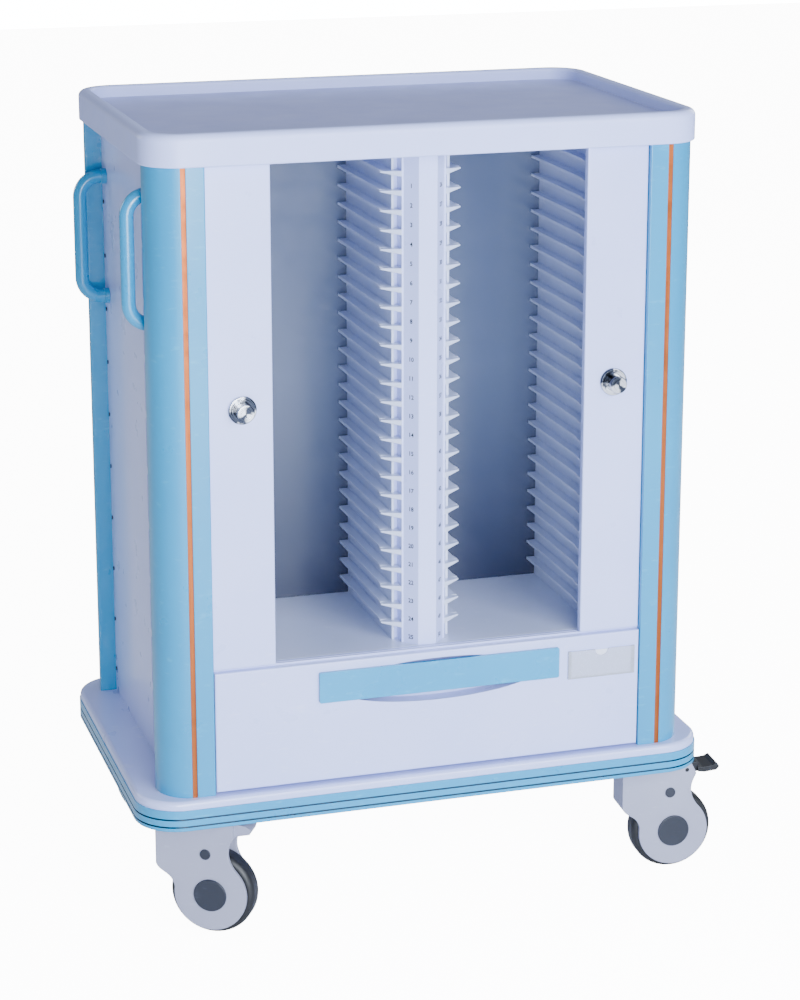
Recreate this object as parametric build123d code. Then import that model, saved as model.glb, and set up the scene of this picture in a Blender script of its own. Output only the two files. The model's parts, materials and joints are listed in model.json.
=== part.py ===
"""Medical record trolley: numbered chart slots behind two sliding tambour doors, a drawer, four casters.

Millimetres. +X is the trolley's right, +Y its back, +Z up. The origin is on the floor under its centre.
"""
from build123d import *
import math
import os

# ---- driving dimensions -------------------------------------------------------------------------
# heights
WHEEL_R = 50.0
BASE_UNDER = 140.0
BUMPER_TOP = 165.0
DECK_TOP = 175.0
SHELF_Z = 322.5
COLUMN_TOP = 895.0
TRAY_TOP = 931.0
TRAY_RIM = 14.0
SHEET = 4.0

# plan sizes, given as half widths
BASE_X, BASE_Y, BASE_R = 344.0, 217.0, 52.0
TRAY_X, TRAY_Y, TRAY_R = 322.5, 211.0, 45.0
BODY_X, BODY_Y, BODY_R = 318.0, 206.0, 40.0
OPEN_X = 257.0
COLUMN_SIDE = 44.0
COLUMN_WALL = 3.0
PANEL_X = 298.0
PANEL_T = 10.0
POCKET_COUNT, POCKET_DEPTH = 10, 7.0
POCKET_Y = (-150.0, -62.0)
POCKET_RIB = 6.0
RIVET_Y = 156.0

# chart compartment
BACK_Y = 24.0
RACK_FRONT_Y = -171.0
OUTER_RACK_X = 208.0
DIVIDER_X = 34.0
LINER_T = 3.0
NOSE_Y = -186.5
NOSE_HALF = 10.7
LABEL_HALF = 23.8
LABEL_EDGE = 2.2
CHANNEL_Y = -154.0
WALL_END_Y = -158.0
RAILS = 25
TOP_RAIL_Z = 871.5
RAIL_PITCH = 21.95
RAIL_OUT = 11.5
RAIL_LIP = 13.0
RAIL_T = 3.0
RAIL_FLARE_Y = -140.0
LIP_Y = -158.0
LIP_BACK_Y = -153.0
LIP_ROOT_T, LIP_TIP_T = 6.5, 1.6

# doors
STRIP_W = 73.0
STRIP_FRONT = -200.0
STRIP_T = 10.0
TONGUE_Y = (-194.0, -192.0)
TONGUE = 3.0
TRACK_Y = (-196.5, -187.0)
TRACK_DEEP = 5.0
LOCK_X = 218.5
LOCK_Z = 622.5
PIN_REST_Y = -180.5
PARK_HOLE_R = 4.5
SLAT_PITCH = 9.0
SLATS = 21
CURTAIN_X = 281.0

# drawer
FRONT_BOTTOM = 177.5
FRONT_TOP = 320.0
FRONT_FACE = -205.0
FRONT_T = 8.0
FRONT_HALF = 256.0
BOX_X = 243.0
BOX_BACK = 140.0
BOX_Z = (188.0, 296.0)
RUNNER_Z = (222.0, 258.0)
PULL_X = (-135.0, 155.0)
PULL_Z = (273.0, 309.5)
POCKET_A, POCKET_B, POCKET_D = 122.0, 25.5, 20.0
LABEL_X = (167.0, 250.0)
LABEL_Z = (268.0, 302.0)

# handles on the left side
HANDLE_Y = 140.0
HANDLE_OUT = 330.0
HANDLE_SPAN = 145.0
HANDLE_MID = {"front": 785.0, "rear": 759.0}
HANDLE_R = 8.0
HANDLE_BEND = 24.0

# steel frame
TUBE = 20.0
POST_X, POST_Y = 265.0, 155.0
FRAME_TOP = 911.0

# casters: swivel position, heading of the trailing side, and whether it has a brake
CASTER_X, CASTER_Y = 283.0, 165.0
TRAIL = 33.0
CAM_REACH = 28.2
CAM_LEAN = 3.3
HOUSING_HALF = 19.0
HOUSING_NOSE = -32.0
WHEEL_HALF = 13.0
HOUSING_TOP = 138.0
STEM_R = 6.0
AXLE_R = 3.98
RUN = 0.06
PEDAL_PIVOT = (49.0, 127.0)
CASTERS = {
    "front_left": (-1, -1, -31.0, False),
    "front_right": (1, -1, -4.0, True),
    "rear_left": (-1, 1, 0.0, True),
    "rear_right": (1, 1, 20.0, False),
}


# ---- helpers ------------------------------------------------------------------------------------
def block(x, y, z):
    """A box from its three (low, high) ranges."""
    size = (x[1] - x[0], y[1] - y[0], z[1] - z[0])
    return Pos(x[0], y[0], z[0]) * Box(*size, align=(Align.MIN, Align.MIN, Align.MIN))


def rounded_plate(half_x, half_y, radius, z0, z1):
    """A rectangle with rounded corners, standing from z0 to z1."""
    return Pos(0, 0, z0) * extrude(RectangleRounded(2 * half_x, 2 * half_y, radius), z1 - z0)


def prism_z(points, z0, z1):
    """A straight-sided outline in plan, standing from z0 to z1."""
    return Pos(0, 0, z0) * extrude(make_face(Polyline(*points, close=True)), z1 - z0)


def prism_y(points, y0, y1):
    """An (x, z) outline carried from y0 to y1."""
    face = make_face(Polyline(*[(x, y0, z) for x, z in points], close=True))
    return extrude(face, amount=y1 - y0, dir=(0, 1, 0))


def rod(axis, centre, radius, length):
    """A cylinder centred on a point, along X, Y or Z."""
    turn = {"x": (0, 90, 0), "y": (90, 0, 0), "z": (0, 0, 0)}[axis]
    return Pos(*centre) * Rot(*turn) * Cylinder(radius, length)


def other_side(shape):
    """The mirror image on the trolley's other side."""
    return mirror(shape, about=Plane.YZ)


def both_sides(shape):
    """The piece and its mirror image."""
    return [shape, other_side(shape)]


def save(name, *shapes):
    """Write one node; several shapes become a group of separate solids."""
    solids = []
    for shape in shapes:
        solids.extend(shape.solids())
    whole = solids[0] if len(solids) == 1 else Compound(children=solids)
    export_step(whole, f"parts/{name}.step")


def rail_heights():
    """Height of each slot rail's middle, from the top down."""
    return [TOP_RAIL_Z - RAIL_PITCH * i for i in range(RAILS)]


# ---- base ---------------------------------------------------------------------------------------
def base_deck():
    """Moulded deck: a flat top with rolled edge and a skirt that carries the bumper."""
    top = rounded_plate(BASE_X - 1, BASE_Y - 1, BASE_R, BUMPER_TOP, DECK_TOP)
    top = fillet(top.edges().group_by(Axis.Z)[-1], 5)
    skirt = rounded_plate(BASE_X - 5, BASE_Y - 5, BASE_R - 4, BASE_UNDER + 3, BUMPER_TOP)
    hollow = rounded_plate(BASE_X - 9, BASE_Y - 9, BASE_R - 8, BASE_UNDER, DECK_TOP - 5)
    return top + skirt - hollow


def base_bumper():
    """Soft bumper band around the deck, with two grooves."""
    band = rounded_plate(BASE_X, BASE_Y, BASE_R, BASE_UNDER, BUMPER_TOP)
    band -= rounded_plate(BASE_X - 5, BASE_Y - 5, BASE_R - 4, BASE_UNDER - 1, BUMPER_TOP + 1)
    for z in (BASE_UNDER + 4.5, BASE_UNDER + 13.5):
        groove = rounded_plate(BASE_X + 1, BASE_Y + 1, BASE_R, z, z + 1.8)
        groove -= rounded_plate(BASE_X - 2.5, BASE_Y - 2.5, BASE_R - 2.5, z - 1, z + 3)
        band -= groove
    return fillet(band.edges().group_by(Axis.Z)[0], 1.2)


def chassis_frame():
    """Steel channel ring inside the deck, drilled for the caster stems."""
    ring = block((-310, 310), (-192, 192), (BASE_UNDER + 3, DECK_TOP - 5))
    ring -= block((-256, 256), (-138, 138), (BASE_UNDER, DECK_TOP))
    trough = block((-307, 307), (-189, 189), (BASE_UNDER + 6, DECK_TOP))
    trough -= block((-259, 259), (-141, 141), (BASE_UNDER, DECK_TOP))
    ring -= trough
    for sx, sy, _, _ in CASTERS.values():
        ring -= rod("z", (sx * CASTER_X, sy * CASTER_Y, BASE_UNDER), STEM_R, 30)
    return ring


def caster_stems():
    """Four swivel stems: a head inside the housing, a collar, a threaded end and its nut."""
    stems = []
    for sx, sy, _, _ in CASTERS.values():
        here = Pos(sx * CASTER_X, sy * CASTER_Y, 0)
        stem = rod("z", (0, 0, 138.5), STEM_R, 43)
        stem += rod("z", (0, 0, 113.5), 9, 6)
        stem += rod("z", (0, 0, 140.75), 14, 4.5)
        nut = Pos(0, 0, BASE_UNDER + 6) * extrude(RegularPolygon(11, 6), 9)
        nut -= rod("z", (0, 0, BASE_UNDER + 10), STEM_R, 20)
        stems += [here * stem, here * nut]
    return stems


# ---- body shell ---------------------------------------------------------------------------------
def column(sx, sy):
    """Rounded corner profile, bent from sheet, with a groove for its trim stripe."""
    outer = BODY_X - BODY_R
    side_y = COLUMN_SIDE - BODY_Y
    mid = math.sqrt(0.5) * BODY_R
    wall = COLUMN_WALL
    front = Line((OPEN_X, -BODY_Y + 12), (OPEN_X, -BODY_Y))
    front += Line((OPEN_X, -BODY_Y), (outer, -BODY_Y))
    corner = (outer + mid, -BODY_Y + BODY_R - mid)
    front += ThreePointArc((outer, -BODY_Y), corner, (BODY_X, -BODY_Y + BODY_R))
    front += Line((BODY_X, -BODY_Y + BODY_R), (BODY_X, side_y))
    front += Line((BODY_X, side_y), (PANEL_X - 10, side_y))
    front += Line((PANEL_X - 10, side_y), (PANEL_X - 10, side_y - wall))
    front += Line((PANEL_X - 10, side_y - wall), (BODY_X - wall, side_y - wall))
    front += Line((BODY_X - wall, side_y - wall), (BODY_X - wall, -BODY_Y + BODY_R))
    inner = math.sqrt(0.5) * (BODY_R - wall)
    bend = (outer + inner, -BODY_Y + BODY_R - inner)
    front += ThreePointArc((BODY_X - wall, -BODY_Y + BODY_R), bend, (outer, -BODY_Y + wall))
    front += Line((outer, -BODY_Y + wall), (OPEN_X + wall, -BODY_Y + wall))
    front += Line((OPEN_X + wall, -BODY_Y + wall), (OPEN_X + wall, -BODY_Y + 12))
    front += Line((OPEN_X + wall, -BODY_Y + 12), (OPEN_X, -BODY_Y + 12))
    shell = Pos(0, 0, DECK_TOP) * extrude(make_face(front), COLUMN_TOP - DECK_TOP)
    shell -= block((outer, outer + 6), (-BODY_Y - 1, -BODY_Y + 1.6), (DECK_TOP - 1, COLUMN_TOP + 1))
    sharp = shell.edges().filter_by(Axis.Z).filter_by(on_rolled_bend)
    shell = fillet(sharp, 1.4)
    return place_in_corner(shell, sx, sy)


def on_rolled_bend(edge):
    """True on the outer bends of a column: the opening edge and the step to the side panel."""
    x, y, _ = edge.center()
    at_opening = abs(x - OPEN_X) < 0.1 and abs(y + BODY_Y) < 0.1
    at_step = abs(x - BODY_X) < 0.1 and abs(y + BODY_Y - COLUMN_SIDE) < 0.1
    return at_opening or at_step


def place_in_corner(shape, sx, sy):
    """Move a piece drawn in the front right corner to the corner given by two signs."""
    if sx < 0:
        shape = mirror(shape, about=Plane.YZ)
    if sy > 0:
        shape = mirror(shape, about=Plane.XZ)
    return shape


def column_stripe(sx, sy):
    """Metal trim strip laid in a column's groove."""
    x = BODY_X - BODY_R
    strip = block((x + 0.2, x + 5.8), (-BODY_Y + 0.7, -BODY_Y + 1.6), (DECK_TOP, COLUMN_TOP))
    return place_in_corner(strip, sx, sy)


def side_panel():
    """Right side panel with a ladder of shallow pockets behind the front column."""
    half = BODY_Y - COLUMN_SIDE - COLUMN_WALL
    panel = block((PANEL_X - PANEL_T, PANEL_X), (-half - 3, half + 3), (DECK_TOP, COLUMN_TOP))
    for i in range(POCKET_COUNT):
        low = DECK_TOP + 22 + 3 * RAIL_PITCH * i
        high = low + 3 * RAIL_PITCH - POCKET_RIB
        pocket = block((PANEL_X - POCKET_DEPTH, PANEL_X + 1), POCKET_Y, (low, high))
        panel -= fillet(pocket.edges().filter_by(Axis.X), 5)
    return panel


def back_panel():
    """Flat rear panel between the rear columns, with a pressed border."""
    panel = block((-OPEN_X, OPEN_X), (196, 200), (DECK_TOP, COLUMN_TOP))
    recess = block((-OPEN_X + 30, OPEN_X - 30), (198.5, 201), (DECK_TOP + 30, COLUMN_TOP - 30))
    return panel - fillet(recess.edges().filter_by(Axis.Y), 18)


def top_tray():
    """Moulded top: raised rounded rim around a sunken worktop, hollow below."""
    body = rounded_plate(TRAY_X, TRAY_Y, TRAY_R, COLUMN_TOP, TRAY_TOP)
    body = fillet(body.edges().group_by(Axis.Z)[-1], 8)
    body = fillet(body.edges().group_by(Axis.Z)[0], 2)
    well = rounded_plate(TRAY_X - 15, TRAY_Y - 15, TRAY_R - 14, TRAY_TOP - TRAY_RIM, TRAY_TOP + 1)
    body -= well
    inside = [e for e in body.edges().filter_by(GeomType.LINE) if on_well_rim(e)]
    inside += [e for e in body.edges().filter_by(GeomType.CIRCLE) if on_well_rim(e)]
    body = fillet(inside, 3.5)
    under = TRAY_TOP - TRAY_RIM - SHEET
    return body - rounded_plate(TRAY_X - 13.5, TRAY_Y - 13.5, TRAY_R - 13, COLUMN_TOP - 1, under)


def on_well_rim(edge):
    """True on the upper edge of the tray's well."""
    x, y, z = edge.center()
    inside = abs(x) < TRAY_X - 14 and abs(y) < TRAY_Y - 14
    return abs(z - TRAY_TOP) < 0.1 and inside


def side_handle(y, mid):
    """D handle, drawn on the right side: a bent tube with a collar where each leg meets the panel."""
    low, high = mid - HANDLE_SPAN / 2, mid + HANDLE_SPAN / 2
    foot = PANEL_X
    ends = [(foot, y, low), (HANDLE_OUT, y, low), (HANDLE_OUT, y, high), (foot, y, high)]
    path = FilletPolyline(*ends, radius=HANDLE_BEND)
    tube = sweep(Plane(path @ 0, z_dir=path % 0) * Circle(HANDLE_R), path=path)
    collars = [rod("x", (foot + 3, y, z), HANDLE_R + 1.4, 6) for z in (low, high)]
    return tube + collars[0] + collars[1]


def panel_rivets():
    """Small rivets down the rear edge of each side panel."""
    heads = []
    for i in range(10):
        z = DECK_TOP + 30 + 3 * RAIL_PITCH * i
        heads += both_sides(rod("x", (PANEL_X + 0.5, RIVET_Y, z), 2.4, 1.0))
    return heads


def inner_frame():
    """Welded steel frame: four posts, side rails low and high, rear cross rails."""
    half = TUBE / 2
    tubes = []
    for x in (-POST_X, POST_X):
        for y in (-POST_Y, POST_Y):
            tubes.append(block((x - half, x + half), (y - half, y + half), (DECK_TOP, FRAME_TOP)))
        for z in (DECK_TOP, FRAME_TOP - TUBE):
            span = (-POST_Y + half, POST_Y - half)
            tubes.append(block((x - half, x + half), span, (z, z + TUBE)))
    for z in (DECK_TOP, FRAME_TOP - TUBE):
        span = (-POST_X + half, POST_X - half)
        tubes.append(block(span, (POST_Y - half, POST_Y + half), (z, z + TUBE)))
    return tubes


# ---- chart compartment --------------------------------------------------------------------------
def compartment_floor():
    """Shelf under the charts, with a narrow front edge."""
    return block((-OUTER_RACK_X - LINER_T, OUTER_RACK_X + LINER_T), (-186, BACK_Y), (SHELF_Z - 6, SHELF_Z))


def back_wall():
    """Glossy rear wall of the compartment."""
    half = OUTER_RACK_X + LINER_T
    return block((-half, half), (BACK_Y, BACK_Y + LINER_T), (SHELF_Z - 6, FRAME_TOP))


def liner_wall():
    """Right outer wall of the compartment; its front flange has a hole that parks the lock pin."""
    x = OUTER_RACK_X
    wall = block((x, x + LINER_T), (RACK_FRONT_Y, BACK_Y), (SHELF_Z, FRAME_TOP))
    flange_y = (RACK_FRONT_Y, RACK_FRONT_Y + LINER_T)
    wall += block((x, POST_X - TUBE / 2), flange_y, (SHELF_Z, FRAME_TOP))
    return wall - rod("y", (LOCK_X, RACK_FRONT_Y, LOCK_Z), PARK_HOLE_R, 20)


def divider_box():
    """Hollow centre divider: two walls and a rear web."""
    z = (SHELF_Z, FRAME_TOP)
    wall = block((DIVIDER_X - LINER_T, DIVIDER_X), (WALL_END_Y, BACK_Y), z)
    web = block((-DIVIDER_X, DIVIDER_X), (BACK_Y - LINER_T, BACK_Y), z)
    return wall + other_side(wall) + web


def divider_nose():
    """Front moulding of the divider: flat nose, two slanted number faces, and a channel beside each."""
    edge = LABEL_HALF + LABEL_EDGE
    wall = DIVIDER_X - LINER_T
    half = [(0, NOSE_Y), (NOSE_HALF, NOSE_Y), (LABEL_HALF, RACK_FRONT_Y), (edge, RACK_FRONT_Y)]
    half += [(edge, CHANNEL_Y), (wall, CHANNEL_Y), (wall, CHANNEL_Y + LINER_T), (0, CHANNEL_Y + LINER_T)]
    outline = half + [(-x, y) for x, y in reversed(half) if x]
    return prism_z(outline, SHELF_Z, FRAME_TOP)


def rail(x, direction, z, reach_back):
    """One slot rail: a shelf ending in a slanted, tapering lip, rooted reach_back inside the wall."""
    side = x + direction * RAIL_OUT
    tip = x + direction * RAIL_LIP
    root = x - direction * reach_back
    rear = BACK_Y - LINER_T
    shelf = [(x, rear), (side, rear), (side, RAIL_FLARE_Y), (tip, LIP_BACK_Y), (x, LIP_BACK_Y)]
    body = prism_z(shelf, z - RAIL_T / 2, z + RAIL_T / 2)
    lip = [(x, LIP_BACK_Y), (tip, LIP_BACK_Y), (tip, LIP_Y), (root, RACK_FRONT_Y)]
    if reach_back:
        wall = x - direction * LINER_T
        lip += [(root, CHANNEL_Y), (wall, CHANNEL_Y), (wall, WALL_END_Y), (x, WALL_END_Y)]
    lip = prism_z(lip, z - LIP_ROOT_T, z + LIP_ROOT_T)
    upper, lower = LIP_ROOT_T / 3, -2 * LIP_ROOT_T / 3
    taper = [(root, z + upper), (tip, z + LIP_TIP_T / 2), (tip, z - LIP_TIP_T / 2), (root, z + lower)]
    lip &= prism_y(taper, RACK_FRONT_Y - 1, LIP_BACK_Y + 1)
    return body + lip


def slot_rails(x, direction, reach_back=0.0):
    """All rails of one rack."""
    return [rail(x, direction, z, reach_back) for z in rail_heights()]


# ---- doors --------------------------------------------------------------------------------------
def door_tracks():
    """Grooved rails above and below the doors."""
    y0, y1 = TRACK_Y
    groove = (TONGUE_Y[0] - 0.4, TONGUE_Y[1] + 0.4)
    low = block((-OPEN_X, OPEN_X), (y0, y1), (SHELF_Z - TRACK_DEEP - 1.5, SHELF_Z))
    low -= block((-OPEN_X - 1, OPEN_X + 1), groove, (SHELF_Z - TRACK_DEEP, SHELF_Z + 1))
    high = block((-OPEN_X, OPEN_X), (y0, y1), (COLUMN_TOP + 1, TRAY_TOP - TRAY_RIM - SHEET))
    high -= block((-OPEN_X - 1, OPEN_X + 1), groove, (COLUMN_TOP, COLUMN_TOP + 9))
    return [low, high]


def door_strip():
    """Right door's leading bar: a flat moulding with tongues that ride in the tracks."""
    inner = OPEN_X - STRIP_W - 0.5
    x = (inner, OPEN_X - 0.5)
    bar = block(x, (STRIP_FRONT, STRIP_FRONT + STRIP_T), (SHELF_Z + 0.5, COLUMN_TOP - 1.5))
    bar = fillet(bar.edges().filter_by(Axis.Z), 1.5)
    tongue_z = (SHELF_Z - TONGUE, COLUMN_TOP + 7)
    bar += block((inner + 4, OPEN_X - 4.5), TONGUE_Y, tongue_z)
    return bar - rod("y", (LOCK_X, STRIP_FRONT, LOCK_Z), 12, 60)


def lock_body():
    """Right lock's fixed body: stepped escutcheon ring and a sleeve through the door strip."""
    back = STRIP_FRONT + STRIP_T + 1.5
    ring = rod("y", (LOCK_X, STRIP_FRONT - 2, LOCK_Z), 16, 4)
    step = rod("y", (LOCK_X, STRIP_FRONT - 5.5, LOCK_Z), 13, 3)
    sleeve = rod("y", (LOCK_X, (STRIP_FRONT + back) / 2, LOCK_Z), 12, back - STRIP_FRONT)
    body = fillet(ring.edges().sort_by(Axis.Y)[0], 1.5) + step + sleeve
    end_plate = 2.0
    length = back - end_plate - (STRIP_FRONT - 8)
    bore = rod("y", (LOCK_X, STRIP_FRONT - 8 + length / 2, LOCK_Z), 10 + RUN, length)
    return body - bore - rod("y", (LOCK_X, back, LOCK_Z), 3 + RUN, 10)


def lock_plunger():
    """Right lock's plunger: the barrel that is pressed in, and its locking pin."""
    front = STRIP_FRONT - 19
    back = STRIP_FRONT - 3.5
    barrel = rod("y", (LOCK_X, (front + back) / 2, LOCK_Z), 10, back - front)
    barrel = fillet(barrel.edges().sort_by(Axis.Y)[0], 1.2)
    pin_end = PIN_REST_Y
    barrel += rod("y", (LOCK_X, (back + pin_end) / 2, LOCK_Z), 3, pin_end - back)
    return barrel - rod("y", (LOCK_X, front + 4, LOCK_Z), 6 + RUN, 12)


def lock_core():
    """Right lock's key core, with its key slot."""
    front = STRIP_FRONT - 19.5
    core = rod("y", (LOCK_X, front + 5, LOCK_Z), 6, 10)
    slot = block((LOCK_X - 0.7, LOCK_X + 0.7), (front - 1, front + 6), (LOCK_Z - 4, LOCK_Z + 4))
    return core - slot


def stored_curtain():
    """Right door's tambour slats, stored along the inside of the side panel."""
    slats = []
    z = (SHELF_Z - 4, COLUMN_TOP + 6)
    for i in range(SLATS):
        y = -143 + SLAT_PITCH * i
        slats.append(block((CURTAIN_X - 2.5, CURTAIN_X + 2.5), (y, y + SLAT_PITCH - 0.6), z))
    return slats


# ---- drawer -------------------------------------------------------------------------------------
def pocket_shape(grow, y0, y1):
    """The finger pocket's oval, grown by a wall and carried from y0 to y1."""
    x = sum(PULL_X) / 2
    z = PULL_Z[0] + 13.5
    oval = Ellipse(POCKET_A + grow, POCKET_B + grow)
    upright = Plane(origin=(x, y1, z), x_dir=(1, 0, 0), z_dir=(0, -1, 0))
    return extrude(upright * oval, y1 - y0)


def drawer_front():
    """Moulded drawer front with a finger pocket behind the pull."""
    back = FRONT_FACE + FRONT_T
    face = block((-FRONT_HALF, FRONT_HALF), (FRONT_FACE, back), (FRONT_BOTTOM, FRONT_TOP))
    face = fillet(face.edges().group_by(Axis.Y)[0], 2)
    cup = pocket_shape(1.5, FRONT_FACE + 2, FRONT_FACE + POCKET_D)
    return face + cup - pocket_shape(0, FRONT_FACE - 1, FRONT_FACE + POCKET_D - 1.5)


def drawer_pull():
    """Flat pull bridging the pocket, with an inturned lower lip."""
    face = block(PULL_X, (FRONT_FACE - 4, FRONT_FACE), PULL_Z)
    face = fillet(face.edges().filter_by(Axis.Y), 2)
    mid = sum(PULL_X) / 2
    lip = block((mid - 90, mid + 90), (FRONT_FACE, FRONT_FACE + 5), (PULL_Z[0] + 2, PULL_Z[0] + 4.5))
    return face + lip


def drawer_box():
    """Drawer tray: floor and four walls, open on top."""
    y = (FRONT_FACE + POCKET_D + 1, BOX_BACK)
    box = block((-BOX_X + 1, BOX_X - 1), y, BOX_Z)
    room = block((-BOX_X + 3.5, BOX_X - 3.5), (y[0] + 2.5, y[1] - 2.5), (BOX_Z[0] + 2.5, BOX_Z[1] + 1))
    screws = [block((x - 6, x + 6), (FRONT_FACE + FRONT_T, y[0]), (200, 240)) for x in (-180, 180)]
    return box - room + screws[0] + screws[1]


def label_holder():
    """Clear label pocket with a thumb notch, and its two rivets."""
    y0 = FRONT_FACE - 2.2
    cover = block(LABEL_X, (y0, y0 + 1.2), LABEL_Z)
    rims = block(LABEL_X, (y0 + 1.2, FRONT_FACE), (LABEL_Z[0], LABEL_Z[0] + 2))
    for x in LABEL_X:
        end = (x, x + 4) if x == LABEL_X[0] else (x - 4, x)
        rims += block(end, (y0 + 1.2, FRONT_FACE), LABEL_Z)
    cover += rims
    cover -= rod("y", (sum(LABEL_X) / 2, y0, LABEL_Z[1]), 8, 3)
    z = sum(LABEL_Z) / 2
    rivets = [rod("y", (x, y0 - 0.4, z), 1.3, 0.8) for x in (LABEL_X[0] + 2, LABEL_X[1] - 2)]
    return [cover] + rivets


def label_card():
    """Blank paper card in the label pocket."""
    y = (FRONT_FACE - 0.6, FRONT_FACE - 0.2)
    return block((LABEL_X[0] + 4.5, LABEL_X[1] - 4.5), y, (LABEL_Z[0] + 2.2, LABEL_Z[1] - 1))


def channel(x0, x1, open_low, y, z):
    """A runner member: an upright web with two lips, on the low or high X side."""
    web_x = (x1 - 1.2, x1) if open_low else (x0, x0 + 1.2)
    member = block(web_x, y, z)
    for low in (z[0], z[1] - 1.2):
        member += block((x0, x1), y, (low, low + 1.2))
    return member


def runner_fixed():
    """Right fixed runner member, bolted to the posts."""
    return channel(250.6, POST_X - TUBE / 2, True, (-165, 165), RUNNER_Z)


def runner_middle():
    """Right middle runner member, a slim bar between the other two."""
    return block((246.9, 249.9), (-160, 160), (RUNNER_Z[0] + 4, RUNNER_Z[1] - 4))


def runner_inner():
    """Right inner runner member, screwed to the drawer box."""
    return channel(BOX_X - 1, 246.4, False, (-175, BOX_BACK), RUNNER_Z)


# ---- casters ------------------------------------------------------------------------------------
def caster_housing(brake):
    """Swivel housing, swivel axis at the origin and trailing along +X: two cheeks, a crown, a nose wall."""
    r = 43.0
    hub_x, hub_z = TRAIL, WHEEL_R
    left = (hub_x - r * math.cos(math.radians(8)), hub_z + r * math.sin(math.radians(8)))
    right = (hub_x + r * math.cos(math.radians(42)), hub_z + r * math.sin(math.radians(42)))
    crown_x = 53.0 if brake else 61.0
    edge = Line((HOUSING_NOSE, HOUSING_TOP), (HOUSING_NOSE, 84))
    edge += Spline((HOUSING_NOSE, 84), (-17, 70), left, tangents=[(0.3, -1), (0.14, -1)])
    edge += ThreePointArc(left, (hub_x, hub_z - r), right)
    edge += Spline(right, (55, 106), (61, 122), tangents=[(-0.67, 0.74), (0.5, 1)])
    edge += Line((61, 122), (crown_x, HOUSING_TOP))
    edge += Line((crown_x, HOUSING_TOP), (HOUSING_NOSE, HOUSING_TOP))
    side = Plane(origin=(0, HOUSING_HALF, 0), x_dir=(1, 0, 0), z_dir=(0, -1, 0))
    body = extrude(side * make_face(edge), 2 * HOUSING_HALF)
    body = fillet(body.edges().filter_by(Axis.Y).sort_by(Axis.X)[:2], 4)
    if not brake:
        beak = [(53, 120), (61, 122), (79, 126), (81, 132), (73, HOUSING_TOP - 2), (53, HOUSING_TOP)]
        body += prism_y(beak, -12, 12)
    gap = WHEEL_HALF + 1.2
    body -= block((HOUSING_NOSE + 5, 90), (-gap, gap), (-1, 117))
    if brake:
        body -= block((41, 90), (-gap, gap), (110, HOUSING_TOP + 1))
        body -= rod("y", (PEDAL_PIVOT[0], 0, PEDAL_PIVOT[1]), 2.5 + RUN, 50)
    body -= rod("z", (0, 0, HOUSING_TOP - 10), STEM_R + RUN, 40)
    return body - rod("y", (hub_x, 0, hub_z), 4, 50)


def caster_axle():
    """Axle with its dark hub caps, and the small caps above them."""
    axle = rod("y", (TRAIL, 0, WHEEL_R), AXLE_R, 2 * HOUSING_HALF)
    caps = []
    for side in (-1, 1):
        y = side * (HOUSING_HALF + 1)
        cap = rod("y", (TRAIL, y, WHEEL_R), 19.5, 2)
        cap = fillet(cap.edges().sort_by(Axis.Y)[-1 if side > 0 else 0], 0.8)
        axle += cap
        caps.append(rod("y", (TRAIL - 5, side * (HOUSING_HALF + 0.6), WHEEL_R + 50), 6.3, 1.2))
    return [axle] + caps


def wheel_core():
    """Moulded wheel centre: hub, thin web and rim, on the axle with running clearance."""
    core = rod("y", (0, 0, 0), 38, 2 * WHEEL_HALF - 2)
    for side in (-1, 1):
        dish = rod("y", (0, side * WHEEL_HALF, 0), 33, 16) - rod("y", (0, 0, 0), 13, 60)
        core -= dish
    return Pos(TRAIL, 0, WHEEL_R) * (core - rod("y", (0, 0, 0), AXLE_R + RUN, 60))


def wheel_tyre():
    """Tyre with rounded shoulders."""
    tyre = rod("y", (0, 0, 0), WHEEL_R, 2 * WHEEL_HALF)
    tyre = fillet(tyre.edges(), 7)
    return Pos(TRAIL, 0, WHEEL_R) * (tyre - rod("y", (0, 0, 0), 38, 60))


def brake_pedal():
    """Brake pedal: foot plate, arm between the cheeks, trunnion pin and the cam that grips the tyre."""
    px, pz = PEDAL_PIVOT
    plate = [(62, 123), (72, 121.5), (87, 123), (91, 127), (88, 132), (82, 129), (70, 128), (58, 129), (58, 124)]
    pedal = prism_y(plate, -17, 17)
    pedal = fillet(pedal.edges().filter_by(Axis.Y).sort_by(Axis.X)[-3:], 2)
    pedal += prism_y([(44, 122), (65, 122), (65, 134), (44, 134)], -13.5, 13.5)
    cheek = HOUSING_HALF - 0.3
    pedal -= block((43, 63.5), (13.5, cheek + 1), (100, 140))
    pedal -= block((43, 63.5), (-cheek - 1, -13.5), (100, 140))
    pedal += rod("y", (px, 0, pz), 2.5, 2 * cheek)
    lean = math.radians(CAM_LEAN)
    foot = (px + CAM_REACH * math.sin(lean), pz - CAM_REACH * math.cos(lean))
    cam = [(px - 5, pz), (px + 5, pz), (foot[0] + 3, foot[1] + 1), foot, (foot[0] - 3, foot[1] + 1)]
    return pedal + prism_y(cam, -8, 8)


def caster_nodes():
    """Every caster's pieces, written where they stand."""
    for name, (sx, sy, heading, brake) in CASTERS.items():
        here = Pos(sx * CASTER_X, sy * CASTER_Y, 0) * Rot(0, 0, heading)
        save(f"{name}_caster_housing", here * caster_housing(brake))
        save(f"{name}_caster_axle", *[here * piece for piece in caster_axle()])
        save(f"{name}_wheel_core", here * wheel_core())
        save(f"{name}_tyre", here * wheel_tyre())
        if brake:
            save(f"{name}_brake_pedal", here * brake_pedal())


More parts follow.
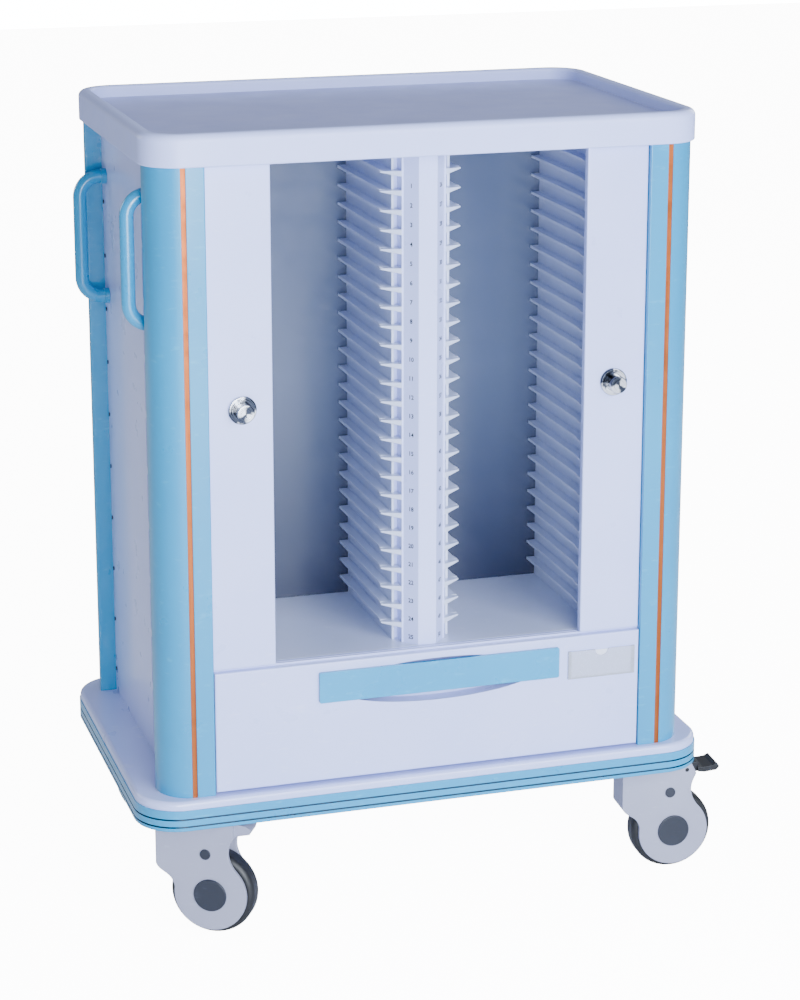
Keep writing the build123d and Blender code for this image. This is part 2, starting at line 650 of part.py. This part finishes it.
# ---- every node ---------------------------------------------------------------------------------
def door_nodes():
    """Both doors: the right one as drawn, the left one mirrored."""
    makers = {"door_strip": door_strip, "lock_body": lock_body, "lock_plunger": lock_plunger}
    makers["lock_core"] = lock_core
    for name, maker in makers.items():
        piece = maker()
        save(f"right_{name}", piece)
        save(f"left_{name}", other_side(piece))
    slats = stored_curtain()
    save("stored_curtains", *slats, *[other_side(slat) for slat in slats])


def body_nodes():
    """Base, shell and frame."""
    save("base_deck", base_deck())
    save("base_bumper", base_bumper())
    save("chassis_frame", chassis_frame())
    save("caster_stems", *caster_stems())
    save("front_columns", column(-1, -1), column(1, -1))
    save("rear_columns", column(-1, 1), column(1, 1))
    corners = [(-1, -1), (1, -1), (-1, 1), (1, 1)]
    save("column_stripes", *[column_stripe(sx, sy) for sx, sy in corners])
    panel = side_panel()
    save("right_side_panel", panel)
    save("left_side_panel", other_side(panel))
    save("back_panel", back_panel())
    save("top_tray", top_tray())
    grips = [side_handle(-HANDLE_Y, HANDLE_MID["front"]), side_handle(HANDLE_Y, HANDLE_MID["rear"])]
    save("left_handles", *[other_side(grip) for grip in grips])
    save("panel_rivets", *panel_rivets())
    save("inner_frame", *inner_frame())


def compartment_nodes():
    """Chart compartment and its four racks of rails."""
    save("compartment_floor", compartment_floor())
    save("back_wall", back_wall())
    save("liner_walls", *both_sides(liner_wall()))
    save("divider_box", divider_box())
    save("divider_nose", divider_nose())
    save("left_outer_rails", *slot_rails(-OUTER_RACK_X, 1))
    reach_back = DIVIDER_X - LABEL_HALF - LABEL_EDGE
    save("left_inner_rails", *slot_rails(-DIVIDER_X, -1, reach_back))
    save("right_inner_rails", *slot_rails(DIVIDER_X, 1, reach_back))
    save("right_outer_rails", *slot_rails(OUTER_RACK_X, -1))
    save("door_tracks", *door_tracks())


def drawer_nodes():
    """Drawer and its telescopic runners."""
    save("drawer_front", drawer_front())
    save("drawer_pull", drawer_pull())
    save("drawer_box", drawer_box())
    save("label_holder", *label_holder())
    save("label_card", label_card())
    save("runner_fixed", *both_sides(runner_fixed()))
    save("runner_middle", *both_sides(runner_middle()))
    save("runner_inner", *both_sides(runner_inner()))


if __name__ == "__main__":
    os.makedirs("parts", exist_ok=True)
    body_nodes()
    compartment_nodes()
    door_nodes()
    drawer_nodes()
    caster_nodes()
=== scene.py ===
"""Looks of the medical record trolley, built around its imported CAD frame.

Metres, in the CAD frame: +X is the trolley's right, +Y its back, +Z up, the floor at z = 0.
"""
import json
import math

import bpy
import bmesh
from mathutils import Matrix, Vector


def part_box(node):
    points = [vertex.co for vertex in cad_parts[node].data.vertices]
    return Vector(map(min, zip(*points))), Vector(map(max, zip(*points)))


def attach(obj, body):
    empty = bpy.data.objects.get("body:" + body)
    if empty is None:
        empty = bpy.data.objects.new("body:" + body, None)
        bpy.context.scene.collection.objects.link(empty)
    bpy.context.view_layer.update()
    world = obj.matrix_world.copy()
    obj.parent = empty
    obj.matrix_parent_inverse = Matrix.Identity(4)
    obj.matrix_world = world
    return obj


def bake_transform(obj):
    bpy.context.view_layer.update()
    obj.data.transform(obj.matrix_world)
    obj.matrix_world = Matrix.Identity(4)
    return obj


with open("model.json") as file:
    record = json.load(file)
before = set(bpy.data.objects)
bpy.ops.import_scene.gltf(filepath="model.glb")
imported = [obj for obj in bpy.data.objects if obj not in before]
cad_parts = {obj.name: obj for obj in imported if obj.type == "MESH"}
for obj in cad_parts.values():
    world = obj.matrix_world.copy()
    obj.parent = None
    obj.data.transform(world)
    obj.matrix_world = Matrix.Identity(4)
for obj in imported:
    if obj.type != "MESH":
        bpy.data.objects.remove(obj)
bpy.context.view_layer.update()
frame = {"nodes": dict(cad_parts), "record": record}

MM = 0.001

# ---- sizes taken over from the CAD, in metres ----------------------------------------------------
WELL_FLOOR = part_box("top_tray")[1][2] - 14 * MM
TOP_RAIL = 871.5 * MM
RAIL_PITCH = 21.95 * MM
RAILS = 25
NUMBER_SIZE = 7.0 * MM
NUMBER_DROP = 0.64
PRINT_T = 0.03 * MM
NUMBER_FACE = ((10.7 * MM, -186.5 * MM), (23.8 * MM, -171.0 * MM))
DOOR_TRAVEL = 183 * MM
CURTAIN_X = (257 * MM, 285 * MM)
CURTAIN_Y = (-188.5 * MM, -185.5 * MM)
CURTAIN_Z = (323.5 * MM, 894.5 * MM)
SLAT = 9 * MM
RIB_DEPTH, RIB_EDGE = 1.4 * MM, 0.9 * MM
BEHIND_STRIP = 4 * MM
GROOVE_MIDDLES = (145.4 * MM, 154.4 * MM)
# heights over which the rear wall's painted shade fades in
WALL_SHADE_Z = (0.33, 0.6)
LOCK_X, LOCK_Z = 218.5 * MM, 622.5 * MM

# ---- camera and light, in metres and degrees ----------------------------------------------------
CAMERA_TARGET = (0.02503, 0.0, 0.56605)
CAMERA_DISTANCE = 3.17437
CAMERA_AZIMUTH = -17.22
CAMERA_ELEVATION = 14.47
CAMERA_LENS = 95.24
CAMERA_SHIFT = -0.1

SOFTBOXES = {
    "key": {"at": (1.1, -2.9, 1.75), "aim": (0.0, 0.0, 0.5), "size": 1.6, "power": 118},
    "front": {"at": (-0.25, -3.1, 0.85), "aim": (0.0, 0.0, 0.6), "size": 1.3, "power": 150},
    "top": {"at": (0.2, 0.2, 2.9), "aim": (0.0, 0.0, 0.5), "size": 1.8, "power": 10},
    "back": {"at": (2.7, 1.9, 1.7), "aim": (0.0, 0.0, 0.6), "size": 1.5, "power": 40},
    "back_left": {"at": (-2.4, 2.4, 1.5), "aim": (0.0, 0.0, 0.6), "size": 1.3, "power": 26},
}
LIGHT_TINT = (0.82, 0.89, 1.0)
WORLD_LIGHT = 0.42
BACKDROP = 22.0
FLOOR_GLOW = 12.0


# ---- materials ----------------------------------------------------------------------------------
def srgb(r, g, b):
    """A colour given as 0-255 screen values, in linear light."""
    linear = []
    for value in (r, g, b):
        c = value / 255
        linear.append(c / 12.92 if c <= 0.04045 else ((c + 0.055) / 1.055) ** 2.4)
    return (*linear, 1.0)


# each skin's tones: light, dark, and a paler tone for scuffs and for painted highlights on edges
WHITE = (srgb(190, 200, 250), srgb(182, 193, 246), srgb(216, 223, 253))
LILAC = (srgb(200, 210, 238), srgb(192, 202, 232), srgb(222, 228, 248))
COLUMN_BLUE = (srgb(14, 142, 190), srgb(10, 135, 184), srgb(84, 184, 220))
PLASTIC_BLUE = (srgb(12, 146, 196), srgb(8, 139, 190), srgb(84, 190, 226))
PAINTED = (srgb(186, 195, 228), srgb(178, 187, 221), srgb(206, 213, 236))
CASTER = (srgb(152, 154, 174), srgb(143, 145, 167), srgb(178, 180, 198))
SLATE = (srgb(34, 38, 50), srgb(28, 32, 43), srgb(62, 68, 84))
BLACK = (srgb(20, 21, 26), srgb(15, 16, 20), srgb(56, 58, 66))
COPPER = (srgb(166, 92, 52), srgb(146, 76, 40))
ZINC = (srgb(188, 190, 196), srgb(160, 163, 170))
RIVET = (srgb(76, 80, 92), srgb(58, 62, 72))
# painted shade: darker tones for the upward floor of the tray's well
PAINTED_WELL_SHADE = (srgb(168, 176, 226), srgb(160, 168, 220))
# painted shade laid along the bumper's grooves
GROOVE_PAINTED_SHADE = srgb(10, 52, 76)

COAT = {"Coat_Weight": 0.35, "Coat_Roughness": 0.12}
FINE = 0.1 * MM


class Finish:
    """Builds one procedural material node by node."""

    def __init__(self, name):
        self.material = bpy.data.materials.new(name)
        self.material.use_nodes = True
        self.tree = self.material.node_tree
        self.shader = self.tree.nodes["Principled BSDF"]
        self.place = self.node("ShaderNodeTexCoord").outputs["Object"]
        self.normal = None

    def node(self, kind, **settings):
        made = self.tree.nodes.new(kind)
        for key, value in settings.items():
            setattr(made, key, value)
        return made

    def link(self, source, target):
        self.tree.links.new(source, target)

    def set(self, **values):
        """Constants on the shader's own sockets."""
        for key, value in values.items():
            self.shader.inputs[key.replace("_", " ")].default_value = value

    def noise(self, scale, detail=3.0, stretch=None):
        """A noise value from 0 to 1; scale is in bumps per metre."""
        made = self.node("ShaderNodeTexNoise")
        made.inputs["Scale"].default_value = scale
        made.inputs["Detail"].default_value = detail
        place = self.place
        if stretch:
            mapping = self.node("ShaderNodeMapping")
            mapping.inputs["Scale"].default_value = stretch
            self.link(place, mapping.inputs["Vector"])
            place = mapping.outputs["Vector"]
        self.link(place, made.inputs["Vector"])
        return made.outputs["Fac"]

    def spread(self, value, low, high, out_low, out_high):
        """Maps a value's range to another, clamped."""
        made = self.node("ShaderNodeMapRange")
        for key, number in zip(("From Min", "From Max", "To Min", "To Max"), (low, high, out_low, out_high)):
            made.inputs[key].default_value = number
        self.link(value, made.inputs["Value"])
        return made.outputs["Result"]

    def math(self, operation, *values):
        """One calculation on numbers or sockets."""
        made = self.node("ShaderNodeMath", operation=operation)
        for socket, value in zip(made.inputs, values):
            if isinstance(value, (int, float)):
                socket.default_value = value
            else:
                self.link(value, socket)
        return made.outputs[0]

    def axes(self, vector):
        """The X, Y and Z parts of a vector."""
        made = self.node("ShaderNodeSeparateXYZ")
        self.link(vector, made.inputs[0])
        return made.outputs

    def cloud(self, scale=7, stretch=None):
        """Broad soft patches from 0 to 1."""
        return self.spread(self.noise(scale, 4, stretch), 0.3, 0.7, 0.0, 1.0)

    def gloss(self, low, high):
        """Roughness that drifts between two values over the surface."""
        return self.spread(self.noise(25, 5), 0.25, 0.8, low, high)

    def mix(self, factor, a, b):
        """Blends two colours, each a constant or a socket."""
        made = self.node("ShaderNodeMix", data_type="RGBA")
        self.link(factor, made.inputs["Factor"])
        for socket, value in ((made.inputs[6], a), (made.inputs[7], b)):
            if isinstance(value, tuple):
                socket.default_value = value
            else:
                self.link(value, socket)
        return made.outputs[2]

    def rounded(self, radius):
        """Softens hard CAD edges by a small radius and returns a mask of those edges."""
        bevel = self.node("ShaderNodeBevel", samples=4)
        bevel.inputs["Radius"].default_value = radius
        self.normal = bevel.outputs["Normal"]
        flat = self.node("ShaderNodeNewGeometry").outputs["Normal"]
        dot = self.node("ShaderNodeVectorMath", operation="DOT_PRODUCT")
        self.link(self.normal, dot.inputs[0])
        self.link(flat, dot.inputs[1])
        return self.spread(dot.outputs["Value"], 0.995, 0.86, 0.0, 1.0)

    def bump(self, height, strength, distance):
        """Adds surface relief from a height value."""
        made = self.node("ShaderNodeBump")
        made.inputs["Strength"].default_value = strength
        made.inputs["Distance"].default_value = distance
        self.link(height, made.inputs["Height"])
        if self.normal:
            self.link(self.normal, made.inputs["Normal"])
        self.normal = made.outputs["Normal"]

    def done(self, colour, rough):
        """Connects colour, roughness and relief."""
        self.link(colour, self.shader.inputs["Base Color"])
        self.link(rough, self.shader.inputs["Roughness"])
        if self.normal:
            self.link(self.normal, self.shader.inputs["Normal"])
        return self.material


def moulded(name, tones, rough, grain=900, grain_depth=0.12, edge=1.2 * MM, **shader):
    """Moulded or painted skin: cloudy tone, fine grain, paler scuffs, painted highlights on its edges,
    uneven gloss.
    """
    f = Finish(name)
    f.set(**shader)
    light, dark, scuff_and_edge_highlight = tones
    edges = f.rounded(edge)
    scuffs = f.spread(f.noise(60, 6, (1, 1, 3)), 0.62, 0.8, 0.0, 0.35)
    tone = f.mix(scuffs, f.mix(f.cloud(), light, dark), scuff_and_edge_highlight)
    # painted highlight: edges turn to the paler tone, broken up by noise
    painted_edge_highlight = f.math("MULTIPLY", edges, f.spread(f.noise(35, 5), 0.35, 0.75, 0.1, 0.8))
    f.bump(f.noise(grain, 2), grain_depth, FINE)
    return f.done(f.mix(painted_edge_highlight, tone, scuff_and_edge_highlight), f.gloss(rough * 0.85, rough * 1.25))


def metal(name, tones, rough, brushed=(1, 1, 1)):
    """Bare metal with fine tool marks along one direction."""
    f = Finish(name)
    f.set(Metallic=1.0)
    f.rounded(0.5 * MM)
    marks = f.noise(300, 4, brushed)
    f.bump(marks, 0.15, FINE / 2)
    tone = f.mix(f.spread(marks, 0.3, 0.7, 0.0, 1.0), *tones)
    return f.done(tone, f.spread(f.noise(90, 5), 0.3, 0.75, rough * 0.8, rough * 1.4))


def make_finishes():
    """One material for each slot of the record, and one each for the tray, with painted shade on its well
    floor, and for the bumper, with painted shade in its grooves.
    """
    return {
        "white_abs": moulded("white_abs", WHITE, 0.3, **COAT),
        "tray_abs": tray_abs(),
        "lilac_abs": moulded("lilac_abs", LILAC, 0.34, **COAT),
        "back_wall_gloss": back_wall_gloss(),
        "blue_aluminium": moulded("blue_aluminium", COLUMN_BLUE, 0.3, 1400, 0.08, 0.8 * MM, **COAT),
        "blue_bumper": blue_bumper(),
        "blue_plastic": moulded("blue_plastic", PLASTIC_BLUE, 0.28, **COAT),
        "copper_trim": metal("copper_trim", COPPER, 0.4, (1, 1, 0.02)),
        "painted_steel": moulded("painted_steel", PAINTED, 0.42),
        "zinc_steel": metal("zinc_steel", ZINC, 0.38),
        "dark_rivet": metal("dark_rivet", RIVET, 0.4),
        "clear_plastic": clear_plastic(),
        "card": card(),
        "chrome": chrome_with_painted_reflection(),
        "caster_grey": moulded("caster_grey", CASTER, 0.36),
        "slate_cap": moulded("slate_cap", SLATE, 0.4),
        "tyre": rubber(),
        "black_plastic": moulded("black_plastic", BLACK, 0.38),
    }


def tray_abs():
    """The tray's white skin, with painted shade darkening the floor of its well."""
    f = Finish("tray_abs")
    f.set(Specular_IOR_Level=0.35)
    light, dark, scuff_and_edge_highlight = WHITE
    # painted highlight: the tray's edges take the paler tone
    skin = f.mix(f.rounded(1.2 * MM), f.mix(f.cloud(), light, dark), scuff_and_edge_highlight)
    patches = f.spread(f.noise(14, 5), 0.3, 0.7, 0.0, 1.0)
    # painted shade: the well's upward floor takes the darker tones
    floor = f.mix(patches, *PAINTED_WELL_SHADE)
    low_down = f.spread(f.axes(f.place)["Z"], WELL_FLOOR + MM, WELL_FLOOR + FINE, 0.0, 1.0)
    upright = f.axes(f.node("ShaderNodeNewGeometry").outputs["Normal"])["Z"]
    shaded_well_floor = f.math("MULTIPLY", low_down, f.math("GREATER_THAN", upright, 0.9))
    f.bump(f.noise(1100, 2), 0.12, FINE)
    return f.done(f.mix(shaded_well_floor, skin, floor), f.gloss(0.3, 0.44))


def blue_bumper():
    """Blue bumper skin with painted shade in its two grooves."""
    f = Finish("blue_bumper")
    f.set(**COAT)
    f.rounded(0.8 * MM)
    light, dark, scuff_and_edge_highlight = PLASTIC_BLUE
    scuffs = f.spread(f.noise(50, 6, (1, 1, 4)), 0.6, 0.8, 0.0, 0.4)
    tone = f.mix(scuffs, f.mix(f.cloud(), light, dark), scuff_and_edge_highlight)
    height = f.axes(f.place)["Z"]
    # painted shade: a dark band down the middle of each groove
    for middle in GROOVE_MIDDLES:
        tone = f.mix(f.math("COMPARE", height, middle, MM), tone, GROOVE_PAINTED_SHADE)
    f.bump(f.noise(900, 2), 0.12, FINE)
    return f.done(tone, f.gloss(0.26, 0.38))


def chrome_with_painted_reflection():
    """Plated lock parts with a painted reflection: dark and bright wedges round the lock's own axis."""
    f = Finish("chrome")
    f.set(Metallic=1.0)
    f.rounded(0.4 * MM)
    spot = f.axes(f.place)
    across = f.math("SUBTRACT", f.math("ABSOLUTE", spot["X"]), LOCK_X)
    up = f.math("SUBTRACT", spot["Z"], LOCK_Z)
    wobble = f.spread(f.noise(120, 2), 0.3, 0.7, -1.2, 1.2)
    painted_reflection = f.math("SINE", f.math("MULTIPLY_ADD", f.math("ARCTAN2", up, across), 2.0, wobble))
    # painted reflection: the angle round the lock axis sets dark and bright wedges in the plating's colour
    tone = f.mix(f.spread(painted_reflection, -0.5, 0.55, 0.0, 1.0), srgb(52, 56, 66), srgb(206, 208, 214))
    f.bump(f.noise(600, 3), 0.05, FINE / 2)
    return f.done(tone, f.spread(f.noise(90, 5), 0.3, 0.75, 0.1, 0.2))


def back_wall_gloss():
    """Glossy rear wall, with painted shade darkening it towards the floor."""
    f = Finish("back_wall_gloss")
    cloud = f.cloud(5, (1, 1, 0.3))
    bright = f.mix(cloud, srgb(80, 91, 118), srgb(73, 84, 110))
    painted_shade_tone = f.mix(cloud, srgb(36, 43, 68), srgb(32, 39, 62))
    # painted shade: the wall fades to the darker tones towards the floor
    shade = f.spread(f.axes(f.place)["Z"], *WALL_SHADE_Z, 1.0, 0.0)
    f.bump(f.noise(3, 2, (1, 1, 0.15)), 0.5, 1.5 * MM)
    return f.done(f.mix(shade, bright, painted_shade_tone), f.spread(f.noise(40, 4), 0.25, 0.8, 0.16, 0.26))


def clear_plastic():
    """Thin clear cover with faint haze and fine scratches."""
    f = Finish("clear_plastic")
    f.set(Transmission_Weight=0.55, IOR=1.3)
    f.rounded(0.3 * MM)
    haze = f.spread(f.noise(500, 4, (1, 1, 6)), 0.45, 0.75, 0.0, 1.0)
    f.bump(haze, 0.05, FINE / 2)
    return f.done(f.mix(haze, srgb(226, 232, 252), srgb(214, 221, 246)), f.spread(haze, 0, 1, 0.15, 0.32))


def card():
    """Paper card with fibre."""
    f = Finish("card")
    fibre = f.noise(2200, 6, (1, 1, 0.3))
    f.bump(fibre, 0.3, FINE / 2)
    tone = f.mix(f.spread(fibre, 0.3, 0.7, 0, 1), srgb(222, 226, 240), srgb(206, 211, 229))
    return f.done(tone, f.spread(fibre, 0, 1, 0.7, 0.85))


def rubber():
    """Tyre rubber with a fine grain and a dusty tread."""
    f = Finish("tyre")
    f.rounded(0.8 * MM)
    dust = f.spread(f.noise(120, 6), 0.45, 0.8, 0.0, 0.6)
    tone = f.mix(dust, srgb(15, 16, 20), srgb(36, 37, 42))
    f.bump(f.noise(1500, 3), 0.3, 0.12 * MM)
    return f.done(tone, f.spread(dust, 0, 1, 0.45, 0.7))


OWN_FINISH = {"top_tray": "tray_abs", "base_bumper": "blue_bumper"}


def dress_nodes(finishes):
    """Every CAD node takes the finish of its record slot."""
    for row in frame["record"]["subparts"]:
        node = frame["nodes"][row["node"]]
        node.data.materials.clear()
        finish = OWN_FINISH.get(row["node"], row["material_slot"])
        node.data.materials.append(finishes[finish])


# ---- pieces added to the frame ------------------------------------------------------------------
def add_piece(name, form, finish):
    """Makes a piece from a finished form and gives it its finish."""
    mesh = bpy.data.meshes.new(name)
    form.to_mesh(mesh)
    form.free()
    piece = bpy.data.objects.new(name, mesh)
    bpy.context.scene.collection.objects.link(piece)
    mesh.materials.append(finish)
    return piece


def glyph(text, size):
    """A short text as a thin upright mesh, centred on its origin."""
    curve = bpy.data.curves.new("glyph", "FONT")
    curve.body = text
    curve.size = size
    curve.extrude = PRINT_T
    curve.offset = 0.16 * MM
    curve.resolution_u = 3
    curve.align_x = "CENTER"
    curve.align_y = "CENTER"
    lettering = bpy.data.objects.new("glyph", curve)
    mesh = bpy.data.meshes.new_from_object(lettering)
    bpy.data.objects.remove(lettering)
    return mesh


def add_numbers(name, first, side, finish):
    """Slot numbers down one slanted face of the divider."""
    (x0, y0), (x1, y1) = NUMBER_FACE
    middle = Vector((side * (x0 + x1) / 2, (y0 + y1) / 2, 0))
    along = Vector((x1 - x0, side * (y1 - y0), 0)).normalized()
    up = Vector((0, 0, 1))
    out = along.cross(up)
    turn = Matrix((along, up, out)).transposed().to_4x4()
    form = bmesh.new()
    for i in range(RAILS):
        mesh = glyph(str(first + i), NUMBER_SIZE)
        spot = middle + out * 2 * PRINT_T
        spot.z = TOP_RAIL - (i + NUMBER_DROP) * RAIL_PITCH
        mesh.transform(Matrix.Translation(spot) @ turn)
        form.from_mesh(mesh)
        bpy.data.meshes.remove(mesh)
    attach(add_piece(name, form, finish), "root")


def rest_x(closed_x):
    """Where a curtain point that stands at closed_x with its door shut stands with the door open."""
    near, far = CURTAIN_X
    low, high = closed_x, closed_x + DOOR_TRAVEL
    for _ in range(50):
        x = (low + high) / 2
        t = min(max((far - x) / (far - near), 0.0), 1.0)
        if x - DOOR_TRAVEL * t * t * (3 - 2 * t) < closed_x:
            low = x
        else:
            high = x
    return (low + high) / 2


def add_curtain(name, side, finish):
    """Tambour curtain: ribbed slats bunched behind a door's leading strip, where they stand with the door
    open.
    """
    near, far = CURTAIN_X
    front, back = CURTAIN_Y
    valley = front + RIB_DEPTH
    outline = []
    closed_x = near - DOOR_TRAVEL - BEHIND_STRIP
    while closed_x < far:
        for step, y in ((0.0, valley), (RIB_EDGE, front), (SLAT - RIB_EDGE, front)):
            outline.append((closed_x + step, y))
        closed_x += SLAT
    rim = [(rest_x(x), y) for x, y in outline if x <= far]
    rim += [(x, back) for x, _ in reversed(rim)]
    form = bmesh.new()
    low, high = ([form.verts.new((side * x, y, z)) for x, y in rim] for z in CURTAIN_Z)
    count = len(rim)
    for i in range(count):
        j = (i + 1) % count
        form.faces.new((low[i], low[j], high[j], high[i]))
    for i in range(count // 2 - 1):
        j = count - 1 - i
        form.faces.new((low[i], low[j], low[j - 1], low[i + 1]))
        form.faces.new((high[i], high[i + 1], high[j - 1], high[j]))
    bmesh.ops.recalc_face_normals(form, faces=form.faces)
    piece = add_piece(name, form, finish)
    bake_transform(piece)


# ---- stage --------------------------------------------------------------------------------------
def add_camera():
    azimuth, elevation = math.radians(CAMERA_AZIMUTH), math.radians(CAMERA_ELEVATION)
    back = Vector((
        math.sin(azimuth) * math.cos(elevation),
        -math.cos(azimuth) * math.cos(elevation),
        math.sin(elevation),
    ))
    data = bpy.data.cameras.new("camera")
    data.lens = CAMERA_LENS
    data.shift_y = CAMERA_SHIFT
    camera = bpy.data.objects.new("camera", data)
    camera.location = Vector(CAMERA_TARGET) + back * CAMERA_DISTANCE
    camera.rotation_euler = back.to_track_quat("Z", "Y").to_euler()
    bpy.context.scene.collection.objects.link(camera)
    bpy.context.scene.camera = camera


def add_softbox(name, at, aim, size, power):
    data = bpy.data.lights.new(name, "AREA")
    data.shape = "SQUARE"
    data.size = size
    data.energy = power
    data.color = LIGHT_TINT
    light = bpy.data.objects.new(name, data)
    light.location = at
    light.rotation_euler = (Vector(at) - Vector(aim)).to_track_quat("Z", "Y").to_euler()
    bpy.context.scene.collection.objects.link(light)


def add_world():
    """Pale surroundings: white to the eye, softer as a light."""
    world = bpy.data.worlds.new("studio")
    bpy.context.scene.world = world
    world.use_nodes = True
    tree = world.node_tree
    background = tree.nodes["Background"]
    background.inputs["Color"].default_value = srgb(236, 243, 255)
    brighter_to_the_eye(tree, background.inputs["Strength"], WORLD_LIGHT, BACKDROP)


def brighter_to_the_eye(tree, strength, as_light, as_seen):
    """Sets a glow that the camera sees brighter than the trolley is lit by it."""
    path = tree.nodes.new("ShaderNodeLightPath")
    level = tree.nodes.new("ShaderNodeMapRange")
    level.inputs["To Min"].default_value = as_light
    level.inputs["To Max"].default_value = as_seen
    tree.links.new(path.outputs["Is Camera Ray"], level.inputs["Value"])
    tree.links.new(level.outputs["Result"], strength)


def add_floor():
    """Plain pale floor."""
    mesh = bpy.data.meshes.new("floor")
    form = bmesh.new()
    bmesh.ops.create_grid(form, x_segments=1, y_segments=1, size=9)
    form.to_mesh(mesh)
    form.free()
    floor = bpy.data.objects.new("floor", mesh)
    bpy.context.scene.collection.objects.link(floor)
    f = Finish("floor_paper")
    tone = f.mix(f.noise(3, 2), srgb(250, 250, 253), srgb(246, 247, 251))
    f.set(Emission_Color=(1.0, 1.0, 1.0, 1.0))
    brighter_to_the_eye(f.tree, f.shader.inputs["Emission Strength"], 0.0, FLOOR_GLOW)
    mesh.materials.append(f.done(tone, f.spread(f.noise(20, 3), 0, 1, 0.7, 0.8)))


# ---- everything ---------------------------------------------------------------------------------
finishes = make_finishes()
dress_nodes(finishes)
for side, word, first in ((-1, "left", 1), (1, "right", 26)):
    add_numbers(f"{word}_slot_numbers", first, side, finishes["black_plastic"])
    add_curtain(f"{word}_curtain", side, finishes["white_abs"])
add_camera()
for name, box in SOFTBOXES.items():
    add_softbox(name, **box)
add_world()
add_floor()
